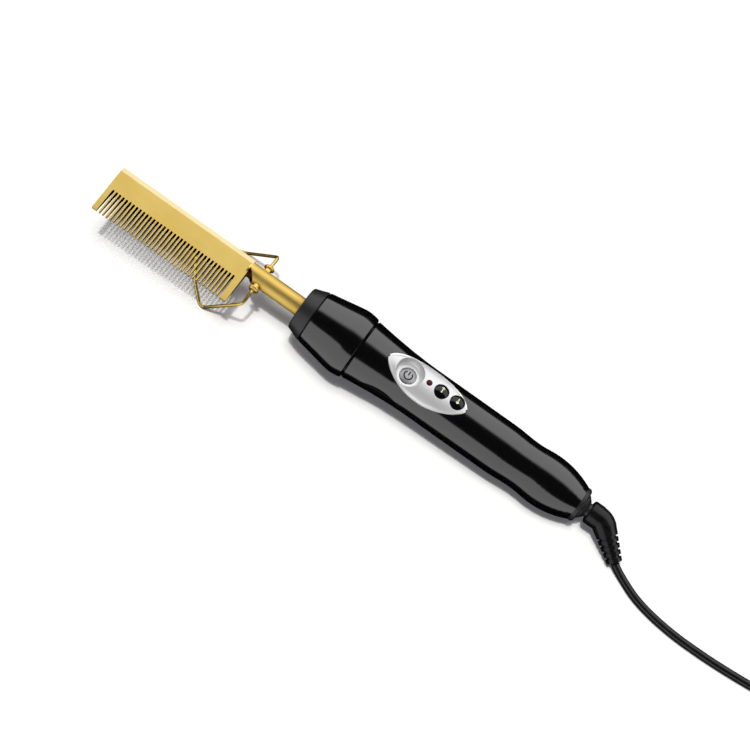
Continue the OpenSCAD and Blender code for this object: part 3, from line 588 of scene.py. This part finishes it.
def sign(name, node_name, slot, lines, width):
    """A raised print on a button, from lines of (x, y) in the tool's own millimetres."""
    node = frame["nodes"][node_name]
    place = node.matrix_world
    verts = [place @ v.co for v in node.data.vertices]
    skin = BVHTree.FromPolygons(verts, [tuple(p.vertices) for p in node.data.polygons])
    ink, faces = [], []  # every point of a line gives four corners: each side, below and above
    for line in lines:
        points = [Vector(p) for p in line]
        start = len(ink)
        for i, point in enumerate(points):
            before, after = points[max(i - 1, 0)], points[min(i + 1, len(points) - 1)]
            side = (after - before).normalized().orthogonal() * width / 2
            for x, y in (point + side, point - side):
                hit = skin.ray_cast(tool_point(x, y, RAY_START_Z), -UPWARD)[0]
                ink += [hit - UPWARD * SIGN_H * MM, hit + UPWARD * SIGN_H * MM]
        for i in range(len(points) - 1):
            a = start + 4 * i
            for p, q in ((0, 1), (1, 3), (3, 2), (2, 0)):
                faces.append((a + p, a + q, a + 4 + q, a + 4 + p))
        end = start + 4 * (len(points) - 1)
        faces += [(start, start + 2, start + 3, start + 1), (end, end + 1, end + 3, end + 2)]
    piece = add_mesh(name, ink, faces, smooth=False)
    piece.data.materials.append(INK[slot])
    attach(piece, node_name.replace("_button", ""))


def steps(a, b, count=8):
    """Points on a straight line, with both of its ends."""
    return [
        (a[0] + (b[0] - a[0]) * i / count, a[1] + (b[1] - a[1]) * i / count)
        for i in range(count + 1)
    ]


def power_lines(x, y, radius):
    """An arc that is open at +Y, and a bar in the opening."""
    start, sweep = 90 + POWER_OPENING, 360 - 2 * POWER_OPENING
    arc = [math.radians(start + sweep * i / POWER_PIECES) for i in range(POWER_PIECES + 1)]
    ring = [(x + radius * math.cos(a), y + radius * math.sin(a)) for a in arc]
    return [ring, steps((x, y), (x, y + radius * POWER_BAR))]


def arrow_lines(x, y, half, way):
    """A shaft and a head that points to +Y or -Y."""
    tip, tail = (x, y + way * half), (x, y - way * half)
    neck = (x, y + way * (half - SHAFT_SHORT))
    left, right = [(x + side * WING_X, y + way * (half - WING_Y)) for side in (-1, 1)]
    return [steps(tail, neck), steps(left, tip, 4) + steps(tip, right, 4)[1:]]


# By the slots that the signs take
INK = {
    "button_black": satin_plastic("ink_dark", (0.004, 0.004, 0.004), 0.5, 0.0, 0.2),
    # pale yellow-green arrows: print whose colour also paints the highlights on the domed heat buttons
    "connector_white": satin_plastic("pale_print_and_highlight", (0.62, 0.66, 0.42), 0.5, 0.0),
}
power = power_lines(*POWER_AT, POWER_R)
arrow_up = arrow_lines(*HEAT_UP_AT, ARROW_HALF, 1)
arrow_down = arrow_lines(*HEAT_DOWN_AT, ARROW_HALF, -1)
sign("power_sign", "power_button", "button_black", power, POWER_LINE_W)
sign("heat_up_sign", "heat_up_button", "connector_white", arrow_up, ARROW_LINE_W)
sign("heat_down_sign", "heat_down_button", "connector_white", arrow_down, ARROW_LINE_W)

# ---- Floor, lamps and world ----

SHARP_SUN = 1.35  # a small lamp that draws the teeth's shadow
SHARP_ANGLE = math.radians(3)
SHARP_WAY = Vector((0.07, 0.14, -1))  # the way the lamp's light goes
SOFT_SUN = 1.55  # a wide lamp beside it
SOFT_ANGLE = math.radians(22)
SOFT_WAY = Vector((0.05, 0.05, -1))
SUN_COLOR = (1.0, 0.995, 0.955)
AMBIENT = 0.15  # brightness of the world where it lights matt surfaces
AMBIENT_COLOR = (0.96, 0.97, 1.13)
SKY_BEHIND = 1.35  # brightness of the sky behind the tool in reflections; in front of it 1
BEHIND_STARTS = (-80, -74)  # where the sky's parts meet, in degrees from straight up towards -Y
OVER_STARTS = (-16, -1)
OVER_ENDS = (55, 60)
OVER_SLANT = 20  # how many degrees further the dark sky reaches towards +X
FLOOR_HALF = 1.6
FLOOR_WHITE = 0.95
FLOOR_SHADE_GLOSS_Y = (-0.044, -0.037)  # from here on towards +Y reflections see the floor black: a painted shade under and behind the tool, seen only in reflections
FLOOR_LIFT = 0.05  # what the floor adds for the camera, so that it is white outside the shadows


def make_floor():
    """The white table, matt."""
    half = FLOOR_HALF
    verts = [(-half, -half, 0), (half, -half, 0), (half, half, 0), (-half, half, 0)]
    floor = add_mesh("floor", verts, [(0, 1, 2, 3)], smooth=False)
    material = bpy.data.materials.new("floor_white")
    material.use_nodes = True
    tree = material.node_tree
    shader = tree.nodes["Principled BSDF"]
    shader.inputs["Roughness"].default_value = 0.9
    shader.inputs["Specular IOR Level"].default_value = 0.0
    shader.inputs["Emission Color"].default_value = (1, 1, 1, 1)
    rays = tree.nodes.new("ShaderNodeLightPath").outputs
    place = tree.nodes.new("ShaderNodeSeparateXYZ")
    tree.links.new(tree.nodes.new("ShaderNodeTexCoord").outputs["Object"], place.inputs[0])
    # painted shade: the floor is black in reflections from here on towards +Y
    dark = ramp(tree, place.outputs["Y"], *FLOOR_SHADE_GLOSS_Y)
    gloss_shade = calc(tree, "MULTIPLY", dark, rays["Is Glossy Ray"])
    tint = tree.nodes.new("ShaderNodeMix")
    tint.data_type = "RGBA"
    tint.inputs["A"].default_value = (FLOOR_WHITE, FLOOR_WHITE, FLOOR_WHITE, 1)
    tint.inputs["B"].default_value = (0, 0, 0, 1)
    tree.links.new(gloss_shade, tint.inputs["Factor"])
    tree.links.new(tint.outputs["Result"], shader.inputs["Base Color"])
    lift = calc(tree, "MULTIPLY", rays["Is Camera Ray"], FLOOR_LIFT)
    tree.links.new(lift, shader.inputs["Emission Strength"])
    floor.data.materials.append(material)


def make_sun(name, strength, angle, way):
    """A sun that reflections don't show."""
    data = bpy.data.lights.new(name, "SUN")
    data.energy = strength
    data.angle = angle
    data.color = SUN_COLOR
    sun = bpy.data.objects.new(name, data)
    sun.visible_glossy = False
    sun.rotation_mode = "QUATERNION"
    sun.rotation_quaternion = way.to_track_quat("-Z", "Y")
    bpy.context.collection.objects.link(sun)


def sky_step(tree, tilt, start, end, before, after):
    """One brightness before an angle and another one after it."""
    share = ramp(tree, tilt, math.radians(start), math.radians(end))
    return calc(tree, "ADD", calc(tree, "MULTIPLY", share, after - before), before)


def make_world():
    """White for the camera, bands for gloss, dim and a little cool for matt surfaces."""
    world = bpy.data.worlds.new("studio")
    bpy.context.scene.world = world
    world.use_nodes = True
    tree = world.node_tree
    rays = tree.nodes.new("ShaderNodeLightPath").outputs
    gloss = calc(tree, "MAXIMUM", rays["Is Glossy Ray"], rays["Is Transmission Ray"])
    seen = calc(tree, "MAXIMUM", gloss, rays["Is Camera Ray"])
    way = tree.nodes.new("ShaderNodeSeparateXYZ")
    tree.links.new(tree.nodes.new("ShaderNodeTexCoord").outputs["Generated"], way.inputs[0])
    # Angle from straight up towards -Y. Gloss sees a bright sky behind the tool, a dark one
    # over it and a plain one in front of it.
    tilt = calc(tree, "ARCTAN2", calc(tree, "MULTIPLY", way.outputs["Y"], -1), way.outputs["Z"])
    slant = calc(tree, "MULTIPLY", way.outputs["X"], math.radians(OVER_SLANT))
    front = sky_step(tree, calc(tree, "SUBTRACT", tilt, slant), *OVER_ENDS, 0, 1)
    lit = calc(tree, "ADD", sky_step(tree, tilt, *OVER_STARTS, 1, 0), front)
    lit = calc(tree, "MULTIPLY", lit, sky_step(tree, tilt, *BEHIND_STARTS, 0, 1))
    lit = calc(tree, "MULTIPLY", lit, sky_step(tree, tilt, *OVER_STARTS, SKY_BEHIND, 1))
    bands = calc(tree, "MULTIPLY", gloss, lit)
    strength = calc(tree, "ADD", bands, calc(tree, "SUBTRACT", 1, gloss))
    tint = tree.nodes.new("ShaderNodeMix")
    tint.data_type = "RGBA"
    tint.inputs["A"].default_value = (*(AMBIENT * c for c in AMBIENT_COLOR), 1)
    tint.inputs["B"].default_value = (1, 1, 1, 1)
    tree.links.new(seen, tint.inputs["Factor"])
    background = tree.nodes["Background"]
    tree.links.new(tint.outputs["Result"], background.inputs["Color"])
    tree.links.new(strength, background.inputs["Strength"])


make_floor()
make_sun("key", SHARP_SUN, SHARP_ANGLE, SHARP_WAY)
make_sun("fill", SOFT_SUN, SOFT_ANGLE, SOFT_WAY)
make_world()

scene = bpy.context.scene
scene.view_settings.view_transform = "Standard"
